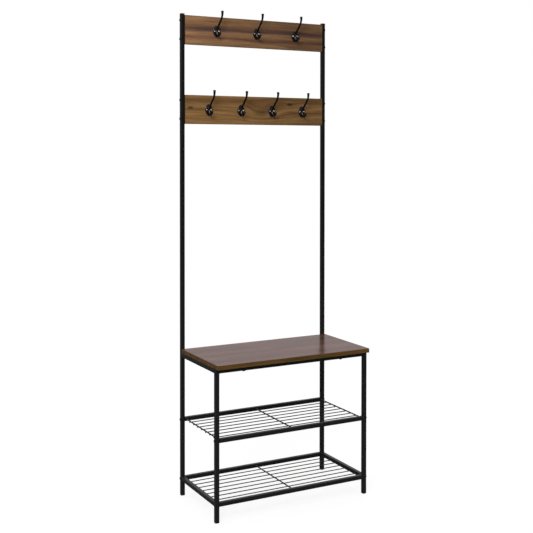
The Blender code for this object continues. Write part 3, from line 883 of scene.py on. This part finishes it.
def grid_welds(name, cross_insets):
    """Nuggets where the long wires cross the cross wires, and at the wires' ends on the rails.

    cross_insets says how far in from the grid's ends each pair of cross wires lies. Half way is one.
    A grid with no such pair has its long wires welded to rails at their ends.
    """
    low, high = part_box(name)
    middle = (low + high) / 2
    half_x = (high.x - low.x) / 2
    cross_x = sorted({middle.x + sign * (half_x - inset) for inset in cross_insets for sign in (-1, 1)})
    cross_x.append(middle.x)
    offsets = [step - (LONG_WIRE_COUNT - 1) / 2 for step in range(LONG_WIRE_COUNT)]
    long_y = [middle.y + offset * LONG_WIRE_PITCH for offset in offsets]
    round_size = NUGGET_RADIUS
    flat_size = NUGGET_RADIUS * NUGGET_FLATNESS
    joint_z = low.z + LONG_WIRE
    crossings = [(x, y, joint_z) for x in cross_x for y in long_y]
    nuggets = [(place, (round_size, round_size, flat_size)) for place in crossings]
    cross_z = high.z - CROSS_WIRE / 2
    cross_ends = [(x, y, cross_z) for x in cross_x for y in (low.y, high.y)]
    nuggets += [(place, (round_size, flat_size, round_size)) for place in cross_ends]
    if not cross_insets:
        long_z = low.z + LONG_WIRE / 2
        long_ends = [(x, y, long_z) for x in (low.x, high.x) for y in long_y]
        nuggets += [(place, (flat_size, round_size, round_size)) for place in long_ends]
    builder = bmesh.new()
    for place, size in nuggets:
        matrix = Matrix.Translation(place) @ Matrix.Diagonal((*size, 1.0))
        bmesh.ops.create_icosphere(builder, subdivisions=2, radius=1.0, matrix=matrix)
    mesh = bpy.data.meshes.new(name + "_welds")
    builder.to_mesh(mesh)
    builder.free()
    mesh.shade_smooth()
    finish_piece(new_piece(name + "_welds", mesh, Matrix.Identity(4)), POWDER_COAT)


coat_hooks()
bolts()
frame_welds()
grid_welds("middle_wire_grid", (CROSS_WIRE / 2,))
grid_welds("bottom_wire_grid", ())
carried_over(named("front_leg", "rear_leg", "upper_post"), POWDER_COAT)
carried_over(named("bench_rail", "middle_rail", "bottom_rail"), POWDER_COAT)
carried_over(named("middle_wire_grid", "bottom_wire_grid"), POWDER_COAT)
carried_over(named("post_cap", "front_foot", "rear_foot"), PLASTIC)
for board, look in BOARDS.items():
    carried_over([board], walnut("walnut_" + board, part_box(board), **look))


# Stage, light and camera.

def floor():
    """A grey floor. What the camera sees of it glows, so that it reads white and soft shadows show."""
    mesh = primitive("floor", bmesh.ops.create_grid, x_segments=1, y_segments=1, size=FLOOR_SIZE / 2)
    stage = new_piece("floor", mesh, Matrix.Identity(4))
    graph = Graph("floor_white", (FLOOR_GREY, FLOOR_GREY, FLOOR_GREY), 0.0, 0.9)
    graph.set("Specular IOR Level", 0.0)
    seen = graph.add("ShaderNodeLightPath").outputs["Is Camera Ray"]
    graph.set("Emission Color", (*WHITE, 1.0))
    graph.set("Emission Strength", graph.times(seen, FLOOR_GLOW))
    mesh.materials.append(graph.material)


def key_light():
    """A round soft light, high on the left in front."""
    data = bpy.data.lights.new("key", "AREA")
    data.shape = "DISK"
    data.size = KEY_SIZE
    data.energy = KEY_POWER
    lamp = bpy.data.objects.new("key", data)
    bpy.context.scene.collection.objects.link(lamp)
    lamp.location = KEY_PLACE
    aim = Vector(KEY_TARGET) - Vector(KEY_PLACE)
    lamp.rotation_euler = aim.to_track_quat("-Z", "Y").to_euler()


def studio():
    """Soft light from all round: brightest from above, then a warm wall behind on the right."""
    world = bpy.data.worlds.new("studio")
    bpy.context.scene.world = world
    world.use_nodes = True
    tree = world.node_tree
    tree.nodes.remove(tree.nodes["Background"])
    direction = tree.nodes.new("ShaderNodeTexCoord").outputs["Generated"]
    parts = tree.nodes.new("ShaderNodeSeparateXYZ")
    tree.links.new(direction, parts.inputs[0])
    behind = tree.nodes.new("ShaderNodeVectorMath")
    behind.operation = "DOT_PRODUCT"
    tree.links.new(direction, behind.inputs[0])
    behind.inputs[1].default_value = SKY_BACK_SIDE

    def light(socket, low, high, strength, tone=WHITE):
        """Light that grows from none at low to its full strength at high."""
        node = tree.nodes.new("ShaderNodeMapRange")
        node.interpolation_type = "SMOOTHSTEP"
        tree.links.new(socket, node.inputs["Value"])
        node.inputs["From Min"].default_value = low
        node.inputs["From Max"].default_value = high
        node.inputs["To Max"].default_value = strength
        background = tree.nodes.new("ShaderNodeBackground")
        background.inputs["Color"].default_value = (*tone, 1.0)
        tree.links.new(node.outputs["Result"], background.inputs["Strength"])
        return background.outputs[0]

    def join(kind, first, second):
        node = tree.nodes.new(kind)
        tree.links.new(first, node.inputs[-2])
        tree.links.new(second, node.inputs[-1])
        return node

    plain = tree.nodes.new("ShaderNodeBackground")
    plain.inputs["Strength"].default_value = SKY_ROUND
    lights = plain.outputs[0]
    for lamp in (
        light(parts.outputs["Z"], *SKY_TOP_RANGE, SKY_TOP),
        light(behind.outputs["Value"], *SKY_BACK_RANGE, SKY_BACK, SKY_BACK_TONE),
        light(parts.outputs["X"], *SKY_LEFT_RANGE, SKY_LEFT),
    ):
        lights = join("ShaderNodeAddShader", lights, lamp).outputs[0]
    backdrop = tree.nodes.new("ShaderNodeBackground")
    seen = join("ShaderNodeMixShader", lights, backdrop.outputs[0])
    tree.links.new(tree.nodes.new("ShaderNodeLightPath").outputs["Is Camera Ray"], seen.inputs[0])
    for background in (plain, backdrop):
        background.inputs["Color"].default_value = (*WHITE, 1.0)
    tree.links.new(seen.outputs[0], tree.nodes["World Output"].inputs["Surface"])
    bpy.context.scene.view_settings.view_transform = "Standard"


def camera():
    """The camera looks along its azimuth, and is tilted down and rolled a little."""
    data = bpy.data.cameras.new("camera")
    data.lens = CAMERA_LENS
    data.sensor_width = CAMERA_SENSOR
    data.shift_x, data.shift_y = CAMERA_SHIFT
    eye = bpy.data.objects.new("camera", data)
    bpy.context.scene.collection.objects.link(eye)
    forward = Vector((
        -math.sin(CAMERA_AZIMUTH) * math.cos(CAMERA_TILT),
        math.cos(CAMERA_AZIMUTH) * math.cos(CAMERA_TILT),
        math.sin(CAMERA_TILT),
    ))
    level = forward.to_track_quat("-Z", "Y").to_matrix().to_4x4()
    eye.matrix_world = Matrix.Translation(CAMERA_PLACE) @ level @ Matrix.Rotation(CAMERA_ROLL, 4, "Z")
    bpy.context.scene.camera = eye


floor()
key_light()
studio()
camera()
